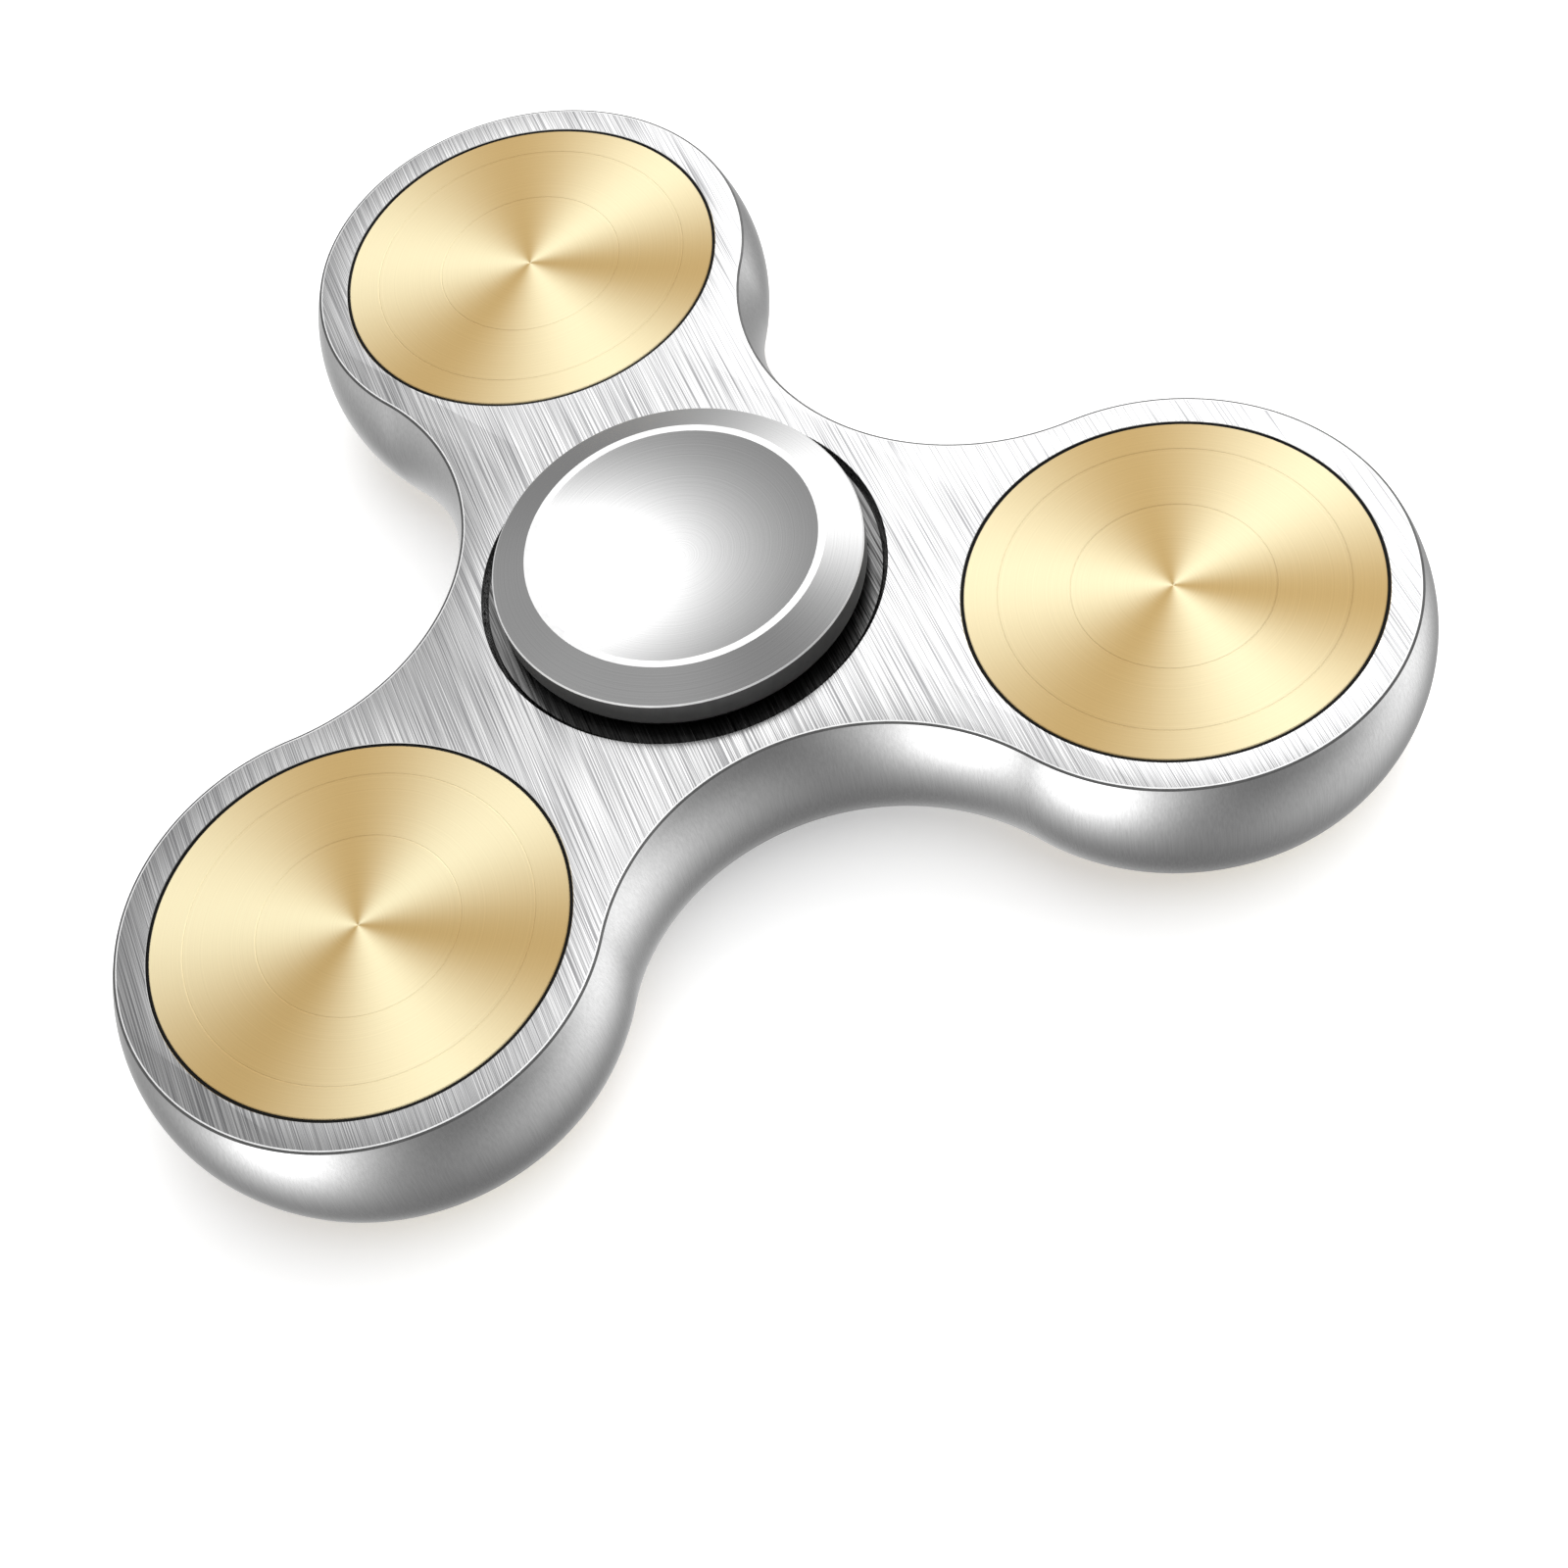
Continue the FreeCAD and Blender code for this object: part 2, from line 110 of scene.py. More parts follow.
def add_node(
    tree: Tree,
    kind: str,
    sockets: dict[str | int, object] | None = None,
    stops: Sequence[tuple[float, str]] = (),
    **settings: object,
) -> bpy.types.Node:
    """Adds a node with its settings and links.

    Args:
        tree: The node tree that it joins.
        kind: The node's type name.
        sockets: For each input, the socket that feeds it or the value that it holds.
        stops: Places and hex colours, where the node is a colour ramp.
        **settings: Properties of the node itself.

    Returns:
        The new node.
    """
    node = tree.nodes.new(kind)
    for name, value in settings.items():
        setattr(node, name, value)
    for name, value in (sockets or {}).items():
        if isinstance(value, Socket):
            tree.links.new(value, node.inputs[name])
        else:
            node.inputs[name].default_value = value
    for index, (place, colour) in enumerate(stops):
        elements = node.color_ramp.elements
        element = elements[index] if index < 2 else elements.new(place)
        element.position = place
        element.color = linear(colour)
    return node


class Surface:
    """A material while it is put together: its shader, and the patterns that drive it."""

    def __init__(self, name: str, **constants: float) -> None:
        """Starts a material with one principled shader.

        Args:
            name: The material's name.
            **constants: Shader values that are the same all over, with _ for a space.
        """
        self.material = bpy.data.materials.new(name)
        self.material.use_nodes = True
        self.tree = self.material.node_tree
        self.tree.nodes.clear()
        values = {key.replace("_", " "): value for key, value in constants.items()}
        self.shader = add_node(self.tree, "ShaderNodeBsdfPrincipled", values)
        add_node(self.tree, "ShaderNodeOutputMaterial", {"Surface": self.shader.outputs["BSDF"]})
        self.place = add_node(self.tree, "ShaderNodeTexCoord").outputs["Object"]
        self.normal: Socket | None = None

    def feed(self, name: str, value: Socket | tuple[float, ...]) -> None:
        """Links or sets one of the shader's inputs.

        Args:
            name: The input.
            value: The socket that feeds it, or the value that it holds.
        """
        if isinstance(value, Socket):
            self.tree.links.new(value, self.shader.inputs[name])
        else:
            self.shader.inputs[name].default_value = value

    def grain(
        self,
        size: tuple[float, float, float],
        heading: float = 0.0,
        detail: float = 2.0,
        contrast: float = 1.0,
    ) -> Socket:
        """Draws noise whose features have a real size along each axis.

        Args:
            size: Length of a feature along the lay, across it and in height.
            heading: Angle of the lay about the vertical axis, in radians.
            detail: How many finer layers the noise has.
            contrast: How far the noise is spread about its middle; 1 leaves it as drawn.

        Returns:
            A value about 0.5, kept within 0 and 1.
        """
        turned = add_node(
            self.tree,
            "ShaderNodeMapping",
            {"Vector": self.place, "Rotation": (0.0, 0.0, heading), "Scale": size},
            vector_type="TEXTURE",
        )
        noise = add_node(
            self.tree,
            "ShaderNodeTexNoise",
            {"Vector": turned.outputs[0], "Scale": 1.0, "Detail": detail},
        )
        reach = 0.5 / contrast
        spread = add_node(
            self.tree,
            "ShaderNodeMapRange",
            {"Value": noise.outputs[0], "From Min": 0.5 - reach, "From Max": 0.5 + reach},
        )
        return spread.outputs[0]

    def radius(self) -> Socket:
        """Measures the distance from the piece's own vertical axis.

        Returns:
            The distance, in metres.
        """
        flat = add_node(
            self.tree,
            "ShaderNodeVectorMath",
            {0: self.place, 1: (1.0, 1.0, 0.0)},
            operation="MULTIPLY",
        )
        length = add_node(
            self.tree, "ShaderNodeVectorMath", {0: flat.outputs[0]}, operation="LENGTH"
        )
        return length.outputs["Value"]

    def azimuth(self, start: float) -> Socket:
        """Measures the angle about the piece's own vertical axis, as a share of a turn.

        Args:
            start: The angle that counts as 0, in radians.

        Returns:
            A value from 0 to 1, growing anticlockwise.
        """
        parts = add_node(self.tree, "ShaderNodeSeparateXYZ", {0: self.place}).outputs
        angle = add_node(
            self.tree, "ShaderNodeMath", {0: parts["Y"], 1: parts["X"]}, operation="ARCTAN2"
        )
        turns = add_node(
            self.tree,
            "ShaderNodeMath",
            {0: angle.outputs[0], 1: 1 / math.tau, 2: -start / math.tau},
            operation="MULTIPLY_ADD",
        )
        share = add_node(self.tree, "ShaderNodeMath", {0: turns.outputs[0]}, operation="FRACT")
        return share.outputs[0]

    def turning(self, pitch: float) -> Socket:
        """Draws the uneven rings that a cutting or grinding tool leaves about the axis.

        Args:
            pitch: Distance from ring to ring.

        Returns:
            A value about 0.5.
        """
        noise = add_node(
            self.tree,
            "ShaderNodeTexNoise",
            {"W": self.radius(), "Scale": 1 / pitch, "Detail": 1.0},
            noise_dimensions="1D",
        )
        return noise.outputs[0]

    def tint(self, share: Socket, low: str, high: str) -> None:
        """Colours the surface by a pattern.

        Args:
            share: The pattern, from 0 to 1.
            low: Its colour at 0, as hex.
            high: Its colour at 1.
        """
        mix = add_node(
            self.tree,
            "ShaderNodeMix",
            {0: share, 6: linear(low), 7: linear(high)},
            data_type="RGBA",
        )
        self.feed("Base Color", mix.outputs[2])

    def vary(self, name: str, share: Socket, low: float, high: float) -> None:
        """Drives one of the shader's inputs by a pattern.

        Args:
            name: The input.
            share: The pattern, from 0 to 1.
            low: The input's value at 0.
            high: The input's value at 1.
        """
        span = add_node(
            self.tree, "ShaderNodeMapRange", {"Value": share, "To Min": low, "To Max": high}
        )
        self.feed(name, span.outputs[0])

    def relief(self, height: Socket, depth: float) -> None:
        """Presses a pattern into the surface.

        Args:
            height: The pattern, from 0 to 1.
            depth: Real depth from its lowest to its highest point.
        """
        sockets: dict[str | int, object] = {"Height": height, "Distance": depth, "Strength": 1.0}
        if self.normal is not None:
            sockets["Normal"] = self.normal
        self.normal = add_node(self.tree, "ShaderNodeBump", sockets).outputs["Normal"]
        self.feed("Normal", self.normal)


# ---------------------------------------------------------------------------------------------
# Finishes
# ---------------------------------------------------------------------------------------------


@dataclass(frozen=True)
class Finish:
    """What every finish has. Each kind adds its own marks in dress()."""

    name: str

    def material(self) -> bpy.types.Material:
        """Gives the finish's material, made on first use."""
        return bpy.data.materials.get(self.name) or self.dress()

    def dress(self) -> bpy.types.Material:
        """Makes the material."""
        raise NotImplementedError


@dataclass(frozen=True)
class BrushedAluminium(Finish):
    """6061 aluminium, linished one way with a fine belt.

    Each scratch is a groove, so neighbouring streaks catch different light: long bright and dark
    lines, with the highlight stretched across them. A real belt's scratches are about a third as
    wide; they are drawn coarser so that single ones can be seen at arm's length.
    """

    light: str = "#FFFFFF"
    dark: str = "#969698"
    heading: float = LAY_HEADING
    scratch: float = 0.064 * MM
    scratch_length: float = 8.0 * MM
    belt_band: float = 0.2 * MM
    belt_band_length: float = 14.0 * MM
    band_share: float = 0.12
    gloss: float = 0.18
    haze: float = 0.28
    depth: float = 0.0013 * MM

    def dress(self) -> bpy.types.Material:
        """Makes the material: two sizes of streak, drawn in colour, gloss and relief.

        Returns:
            The material.
        """
        metal = Surface(self.name, Metallic=1.0, Anisotropic=0.2)
        fine = metal.grain(
            (self.scratch_length, self.scratch, self.scratch), self.heading, 0.0, contrast=1.9
        )
        broad = metal.grain(
            (self.belt_band_length, self.belt_band, self.belt_band), self.heading, 1.0, contrast=1.8
        )
        streak = add_node(metal.tree, "ShaderNodeMix", {0: self.band_share, 2: fine, 3: broad})
        metal.tint(streak.outputs[0], self.dark, self.light)
        metal.vary("Roughness", streak.outputs[0], self.haze, self.gloss)
        metal.relief(fine, self.depth)
        along = add_node(
            metal.tree, "ShaderNodeTangent", direction_type="UV_MAP", uv_map=LAY_MAP
        )
        metal.feed("Tangent", along.outputs[0])
        return metal.material


@dataclass(frozen=True)
class SatinAluminium(Finish):
    """6061 aluminium wall, profiled by a form cutter and polished to a satin.

    The eye sees soft, wide highlights that run along the wall, frayed by faint upright cutter marks.
    """

    light: str = "#F6F6F6"
    dark: str = "#E4E4E4"
    mark: float = 0.09 * MM
    mark_length: float = 7.0 * MM
    gloss: float = 0.155
    haze: float = 0.185
    depth: float = 0.00008 * MM

    def dress(self) -> bpy.types.Material:
        """Makes the material: upright cutter marks in tone, gloss and relief.

        Returns:
            The material.
        """
        metal = Surface(self.name, Metallic=1.0)
        marks = metal.grain((self.mark, self.mark, self.mark_length), 0.0, 2.0, contrast=1.8)
        metal.tint(marks, self.dark, self.light)
        metal.vary("Roughness", marks, self.haze, self.gloss)
        metal.relief(marks, self.depth)
        return metal.material


@dataclass(frozen=True)
class CutEdge(Finish):
    """An edge, rim or wall whose tool marks are too fine to tell apart.

    Cut last with a sharp tool it is bright, seen as one thin light line. Given dark greys it is
    painted shade: the outer facet of the plate's chamfers, and the pad walls in the shade of the
    well. Its microscopic roughness scatters light, so it is partly matt.
    """

    light: str = "#FFFFFF"
    dark: str = "#E9E9E9"
    metallic: float = 0.55
    wear: float = 0.8 * MM
    gloss: float = 0.34
    haze: float = 0.42
    depth: float = 0.001 * MM

    def dress(self) -> bpy.types.Material:
        """Makes the material: bright, or painted-shade grey, with slight handling wear along its length.

        Returns:
            The material.
        """
        metal = Surface(self.name, Metallic=self.metallic)
        rubbed = metal.grain((self.wear, self.wear, self.wear), 0.0, 2.0, contrast=1.5)
        metal.tint(rubbed, self.dark, self.light)
        metal.vary("Roughness", rubbed, self.haze, self.gloss)
        metal.relief(rubbed, self.depth)
        return metal.material


@dataclass(frozen=True)
class SpunGold(Finish):
    """Aluminium disc, faced on a lathe into a spun lay and then anodised gold.

    Broad fans, pale and deep gold in turn, meet at the middle: painted highlight and painted shade
    in the base colour by the angle about the disc's axis, over the real stretched highlights of the
    concentric lay; close up the rings themselves are just visible.
    """

    # Pale and deep are the painted highlight and painted shade of the fans, at these angles in degrees.
    pale: str = "#FFF3CB"
    deep: str = "#C8AA71"
    highlight_fan_angles: tuple[float, ...] = (76.0, 207.0, 338.0)
    shade_fan_angles: tuple[float, ...] = (27.0, 138.0, 275.0)
    ring: float = 0.09 * MM
    metallic: float = 0.5
    tone: tuple[float, float] = (0.975, 1.03)
    gloss: float = 0.58
    haze: float = 0.7
    depth: float = 0.0006 * MM

    def dress(self) -> bpy.types.Material:
        """Makes the material: painted highlight and shade fans by angle, and rings by radius in tone,
        gloss and relief.

        Returns:
            The material.
        """
        metal = Surface(self.name, Metallic=self.metallic, Anisotropic=0.4)
        # The fans are painted highlight and painted shade in the base colour, by the angle about the
        # axis.
        start = self.shade_fan_angles[0]
        fans = [(angle, self.deep) for angle in self.shade_fan_angles]
        fans += [(angle, self.pale) for angle in self.highlight_fan_angles]
        fans.append((start + 360.0, self.deep))
        stops = sorted(((angle - start) / 360.0, colour) for angle, colour in fans)
        around = metal.azimuth(math.radians(start))
        ramp = add_node(metal.tree, "ShaderNodeValToRGB", {0: around}, stops)
        ramp.color_ramp.interpolation = "EASE"
        rings = metal.turning(self.ring)
        darkest, lightest = self.tone
        tone = add_node(
            metal.tree,
            "ShaderNodeMapRange",
            {"Value": rings, "To Min": darkest, "To Max": lightest},
        )
        toned = add_node(
            metal.tree,
            "ShaderNodeVectorMath",
            {0: ramp.outputs[0], "Scale": tone.outputs[0]},
            operation="SCALE",
        )
        metal.feed("Base Color", toned.outputs[0])
        metal.vary("Roughness", rings, self.haze, self.gloss)
        metal.relief(rings, self.depth)
        around_axis = add_node(
            metal.tree, "ShaderNodeTangent", direction_type="RADIAL", axis="Z"
        )
        metal.feed("Tangent", around_axis.outputs[0])
        return metal.material


@dataclass(frozen=True)
class NitrileRubber(Finish):
    """Black nitrile rubber, moulded.

    Near black and dull, with a fine eggshell grain from the mould.
    """

    light: str = "#0A0A0A"
    dark: str = "#030303"
    grit: float = 0.08 * MM
    gloss: float = 0.6
    haze: float = 0.8
    depth: float = 0.004 * MM

    def dress(self) -> bpy.types.Material:
        """Makes the material: a matt black with mould grain.

        Returns:
            The material.
        """
        rubber = Surface(self.name, Metallic=0.0, IOR=1.52, Specular_IOR_Level=0.25)
        grain = rubber.grain((self.grit, self.grit, self.grit), 0.0, 3.0, contrast=1.5)
        rubber.tint(grain, self.dark, self.light)
        rubber.vary("Roughness", grain, self.gloss, self.haze)
        rubber.relief(grain, self.depth)
        return rubber.material


@dataclass(frozen=True)
class TurnedSteel(Finish):
    """Stainless steel, turned on a lathe and polished to a satin sheen.

    A clear, slightly soft reflection that bends with the form, over very fine rings.
    """

    light: str = "#EEEEEE"
    dark: str = "#DDDDDD"
    ring: float = 0.07 * MM
    cloud: float = 3.0 * MM
    gloss: float = 0.12
    haze: float = 0.16
    depth: float = 0.0004 * MM

    def dress(self) -> bpy.types.Material:
        """Makes the material: rings by radius, and a faint polish haze.

        Returns:
            The material.
        """
        metal = Surface(self.name, Metallic=1.0, Anisotropic=0.2)
        rings = metal.turning(self.ring)
        haze = metal.grain((self.cloud, self.cloud, self.cloud), 0.0, 3.0, contrast=1.6)
        metal.tint(rings, self.dark, self.light)
        metal.vary("Roughness", haze, self.gloss, self.haze)
        metal.relief(rings, self.depth)
        around_axis = add_node(
            metal.tree, "ShaderNodeTangent", direction_type="RADIAL", axis="Z"
        )
        metal.feed("Tangent", around_axis.outputs[0])
        return metal.material


@dataclass(frozen=True)
class PlainSteel(Finish):
    """Bearing and bar steel in the states that the inner pieces have.

    From mirror bright on a lapped ball, through the near black of a ground ring, which is painted
    shade for the dark well round the pad, to the mottled skin of pressed sheet and sawn bar.
    """

    light: str
    dark: str
    gloss: float
    haze: float
    grit: tuple[float, float, float]
    depth: float

    def dress(self) -> bpy.types.Material:
        """Makes the material: an even grit in tone, gloss and relief.

        Returns:
            The material.
        """
        metal = Surface(self.name, Metallic=1.0)
        size = tuple(length * MM for length in self.grit)
        grain = metal.grain(size, LAY_HEADING, 2.0, contrast=2.2)
        metal.tint(grain, self.dark, self.light)
        metal.vary("Roughness", grain, self.gloss, self.haze)
        metal.relief(grain, self.depth)
        return metal.material


BRUSHED_FACE = BrushedAluminium("brushed_aluminium")
SATIN_WALL = SatinAluminium("satin_aluminium")
CUT_CHAMFER = CutEdge("cut_aluminium_chamfer", metallic=0.3)
# The outer chamfer facet is dark grey: a painted shade line along the plate's edges.
SHADE_PAINTED_CHAMFER = CutEdge("aluminium_edge_painted_shade", light="#6C6C6C", dark="#545454")
GOLD_FACE = SpunGold("gold_anodised_aluminium")
BLACK_SEAL = NitrileRubber("black_nitrile_rubber")
PAD_STEEL = TurnedSteel("turned_stainless_steel")
PAD_RIM = CutEdge("cut_steel_rim", metallic=0.6)
# The pad wall is dark grey: painted shade, as it stands in the shade of the well.
PAD_WALL = CutEdge("tumbled_stainless_steel", light="#646464", dark="#565656", metallic=0.4)
# The bearing rings are near black: painted shade for the dark well round the pad.
RING_STEEL = PlainSteel(
    "bearing_steel_painted_shade", "#9A9A9A", "#0E0E0E", 0.16, 0.28, (4.0, 0.08, 0.08), 0.0004 * MM
)
BALL_STEEL = PlainSteel(
    "lapped_ball_steel", "#F1F1F1", "#E5E5E5", 0.05, 0.08, (0.5, 0.5, 0.5), 0.0001 * MM
)
SHEET_STEEL = PlainSteel(
    "pressed_sheet_steel", "#8E8E8E", "#5C5C5C", 0.26, 0.4, (0.3, 0.3, 0.3), 0.002 * MM
)
BAR_STEEL = PlainSteel(
    "sawn_bar_steel", "#B4B4B4", "#7E7E7E", 0.35, 0.55, (5.0, 0.4, 0.4), 0.006 * MM
)


# ---------------------------------------------------------------------------------------------
# Mesh building
# ---------------------------------------------------------------------------------------------


@dataclass(frozen=True)
class Corner:
    """A point of a turned outline, and the finish of the band from it to the next point."""

    radius: float
    height: float
    finish: Finish


def arc_corners(
    centre: tuple[float, float],
    radius: float,
    start: float,
    end: float,
    steps: int,
    finish: Finish,
) -> list[Corner]:
    """Gives the corners along a round stretch of a turned outline.

    Args:
        centre: Radius and height of the arc's centre.
        radius: Radius of the arc itself.
        start: Its first angle, in radians from the outward direction.
        end: Its last angle.
        steps: How many bands it has.
        finish: The finish of those bands.

    Returns:
        The corners, both ends included.
    """
    corners = []
    for step in range(steps + 1):
        angle = start + (end - start) * step / steps
        across = centre[0] + radius * math.cos(angle)
        height = centre[1] + radius * math.sin(angle)
        corners.append(Corner(across if across > ON_AXIS else 0.0, height, finish))
    return corners


def polar(radius: float, angle: float, height: float = 0.0) -> Vector:
    """Gives the point at a radius and an angle about the vertical axis."""
    return Vector((radius * math.cos(angle), radius * math.sin(angle), height))


def bridge(
    mesh: bmesh.types.BMesh,
    upper: Sequence[bmesh.types.BMVert],
    lower: Sequence[bmesh.types.BMVert],
    finish: int,
) -> None:
    """Joins two rings of points by a band of faces.

    Args:
        mesh: The mesh that holds both rings.
        upper: The points of one ring, or the single point where the band closes.
        lower: The same for the other ring.
        finish: The material index of the band.
    """
    steps = max(len(upper), len(lower))
    for here in range(steps):
        after = here + 1
        corners = (
            upper[here % len(upper)],
            lower[here % len(lower)],
            lower[after % len(lower)],
            upper[after % len(upper)],
        )
        face = mesh.faces.new(tuple(dict.fromkeys(corners)))
        face.material_index = finish


def turned_mesh(
    corners: Sequence[Corner], ring: bool = False
) -> tuple[bmesh.types.BMesh, list[Finish]]:
    """Turns an outline about the vertical axis into a closed mesh.

    Args:
        corners: The outline, from one point on the axis to another, or all round a ring's section.
        ring: True where the outline is a ring's section, which closes on itself.

    Returns:
        The mesh, and its finishes in the order of their material indices.
    """
    mesh = bmesh.new()
    finishes = list(dict.fromkeys(corner.finish for corner in corners))
    loops = []
    for corner in corners:
        steps = TURNED_STEPS if corner.radius > 0 else 1
        turns = [math.tau * step / steps for step in range(steps)]
        loops.append([mesh.verts.new(polar(corner.radius, turn, corner.height)) for turn in turns])
    last = len(corners) if ring else len(corners) - 1
    for index in range(last):
        following = loops[(index + 1) % len(loops)]
        bridge(mesh, loops[index], following, finishes.index(corners[index].finish))
    return mesh, finishes


def add_piece(
    name: str,
    node: str,
    mesh: bmesh.types.BMesh,
    finishes: Iterable[Finish],
    body: str,
    place: Vector | None = None,
    flipped: bool = False,
) -> bpy.types.Object:
    """Makes a mesh into a finished piece that stands for its CAD node and rides with it.

    Args:
        name: The piece's name.
        node: The CAD node that it stands for.
        mesh: The mesh, which is used up.
        finishes: The finishes, in the order of the mesh's material indices.
        body: The body that it rides on.
        place: Where the mesh's own origin goes.
        flipped: True to turn the mesh upside down about its own origin.

    Returns:
        The new object.
    """
    bmesh.ops.recalc_face_normals(mesh, faces=mesh.faces)
    if flipped:
        for vert in mesh.verts:
            vert.co = Vector((vert.co.x, -vert.co.y, -vert.co.z))
    data = bpy.data.meshes.new(name)
    mesh.to_mesh(data)
    mesh.free()
    data.shade_smooth()
    data.set_sharp_from_angle(angle=SHARP_ANGLE)
    for finish in finishes:
        data.materials.append(finish.material())
    piece = bpy.data.objects.new(name, data)
    bpy.context.scene.collection.objects.link(piece)
    piece.location = place or Vector()
    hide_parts(node)
    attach(piece, body)
    log.info("%s: %d faces, rides on %s", name, len(data.polygons), body)
    return piece


def middle(node: str) -> Vector:
    """Gives the middle of a CAD node's box."""
    low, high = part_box(node)
    return (low + high) / 2


def outer_radius(node: str) -> float:
    """Gives the radius of a round CAD node."""
    low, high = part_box(node)
    return (high.x - low.x) / 2


# ---------------------------------------------------------------------------------------------
# Sub-assemblies
# ---------------------------------------------------------------------------------------------


@dataclass
class SpinnerPlate:
    """The machined three-lobed plate that turns about the bearing.

    Its outline is three round lobes joined by three round notches, every centre at one pitch, so
    that each lobe meets the next notch at a tangent at any height of the wall.
    """

    bevel_width: float = 0.25 * MM
    bevel_depth: float = 0.2 * MM
    glint_width: float = 0.07 * MM
    glint_depth: float = 0.015 * MM
    soft_width: float = 0.13 * MM
    soft_depth: float = 0.055 * MM
    side_bulge: float = 0.75 * MM
    bore_break: float = 0.03 * MM
    lobe_steps: int = 180
    notch_steps: int = 90
    wall_steps: int = 20
    bore_steps: int = 180

    def __post_init__(self) -> None:
        """Takes the plate's main sizes from the frame."""
        low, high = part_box("spinner_body")
        self.half_height = high.z
        self.lobe_centres = [middle(f"disc_top_{number}") for number in (1, 2, 3)]
        self.pitch = Vector(self.lobe_centres[0][:2]).length
        self.lobe_radius = -low.y - self.pitch
        self.hub_radius = outer_radius("bearing_outer_race")
        self.disc_bore = outer_radius("gasket_top_1")
        self.weight_bore = outer_radius("weight_1")
        self.ledge = middle("weight_1").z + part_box("weight_1")[1].z

    def outline(self, lobe_radius: float, height: float) -> list[Vector]:
        """Gives the outline at one height.

        Args:
            lobe_radius: The lobes' radius there; the notches take what it leaves of the pitch.
            height: The height.

        Returns:
            The points, anticlockwise from above.
        """
        notch_radius = self.pitch - lobe_radius
        third = math.tau / 3
        points = []
        for centre in self.lobe_centres:
            out = math.atan2(centre.y, centre.x)
            lobe = polar(self.pitch, out, height)
            notch = polar(self.pitch, out + third / 2, height)
            for step in range(self.lobe_steps):
                angle = out - third + 2 * third * step / self.lobe_steps
                points.append(lobe + polar(lobe_radius, angle))
            for step in range(self.notch_steps):
                angle = out + third + math.pi - third * step / self.notch_steps
                points.append(notch + polar(notch_radius, angle))
        return points

    def wall_levels(self) -> list[tuple[float, float, Finish]]:
        """Works out the wall's section: a bulged side between two fine stepped chamfers.

        Returns:
            Lobe radius, height and finish of each level, from top to bottom.
        """
        crown = self.half_height - self.bevel_depth
        bend = (crown ** 2 + self.side_bulge ** 2) / (2 * self.side_bulge)
        sweep = math.asin(crown / bend)
        levels = []
        for step in range(self.wall_steps + 1):
            angle = sweep * (1 - 2 * step / self.wall_steps)
            inward = bend * (1 - math.cos(angle))
            levels.append((self.lobe_radius - inward, bend * math.sin(angle), SATIN_WALL))
        flat = self.lobe_radius - self.side_bulge - self.bevel_width
        top = self.half_height
        glint = (flat + self.glint_width, top - self.glint_depth)
        soft = (glint[0] + self.soft_width, glint[1] - self.soft_depth)
        # The outer facet of each stepped chamfer is dark grey: a painted shade line along the edge.
        return (
            [(flat, top, CUT_CHAMFER), (*glint, SHADE_PAINTED_CHAMFER), (*soft, SATIN_WALL)]
            + levels
            + [(soft[0], -soft[1], SHADE_PAINTED_CHAMFER), (glint[0], -glint[1], CUT_CHAMFER)]
            + [(flat, -top, CUT_CHAMFER)]
        )

    def bore_sections(self) -> list[tuple[Vector, list[tuple[float, float]]]]:
        """Works out the sections of the bearing's bore and the three lobe bores.

        Returns:
            Each bore's axis, and the radius and height of its corners from top to bottom.
        """
        top = self.half_height
        edge = self.bore_break
        disc, weight, ledge = self.disc_bore, self.weight_bore, self.ledge
        well = [(self.hub_radius + edge, top), (self.hub_radius, top - edge)]
        seat = [(disc + edge, top), (disc, top - edge), (disc, ledge), (weight, ledge)]
        sections = [(Vector(), well)] + [(centre, seat) for centre in self.lobe_centres]
        mirrored = []
        for axis, upper in sections:
            lower = [(radius, -height) for radius, height in reversed(upper)]
            mirrored.append((Vector((axis.x, axis.y, 0.0)), upper + lower))
        return mirrored

    def mesh(self) -> tuple[bmesh.types.BMesh, list[Finish]]:
        """Builds the plate: wall, four bores and two faces, closed all round.

        Returns:
            The mesh, and its finishes in the order of their material indices.
        """
        mesh = bmesh.new()
        finishes = [BRUSHED_FACE, SATIN_WALL, CUT_CHAMFER, SHADE_PAINTED_CHAMFER]
        stacks = []
        levels = self.wall_levels()
        wall = [
            [mesh.verts.new(point) for point in self.outline(radius, height)]
            for radius, height, _ in levels
        ]
        for index, (_, _, finish) in enumerate(levels[:-1]):
            bridge(mesh, wall[index], wall[index + 1], finishes.index(finish))
        stacks.append(wall)
        for axis, section in self.bore_sections():
            turns = [math.tau * step / self.bore_steps for step in range(self.bore_steps)]
            bore = [
                [mesh.verts.new(axis + polar(radius, turn, height)) for turn in turns]
                for radius, height in section
            ]
            for upper, lower in zip(bore, bore[1:]):
                bridge(mesh, upper, lower, finishes.index(SATIN_WALL))
            stacks.append(bore)
        for end in (0, -1):
            rims = [stack[end] for stack in stacks]
            verts = [vert for rim in rims for vert in rim]
            for triple in tessellate_polygon([[vert.co for vert in rim] for rim in rims]):
                mesh.faces.new([verts[index] for index in triple])
        return mesh, finishes

    def add_lay_map(self, piece: bpy.types.Object) -> None:
        """Adds the map that lies along the brushing, for the stretch of its highlights.

        Args:
            piece: The plate.
        """
        data = piece.data
        layer = data.uv_layers.new(name=LAY_MAP)
        along = polar(1.0, LAY_HEADING)
        across = polar(1.0, LAY_HEADING + math.pi / 2)
        reach = 2 * (self.pitch + self.lobe_radius)
        for loop in data.loops:
            point = data.vertices[loop.vertex_index].co
            layer.data[loop.index].uv = (
                0.5 + point.dot(along) / reach,
                0.5 + point.dot(across) / reach,
            )

    def build(self) -> None:
        """Builds and dresses the plate."""
        mesh, finishes = self.mesh()
        piece = add_piece("plate", "spinner_body", mesh, finishes, "rotor")
        self.add_lay_map(piece)


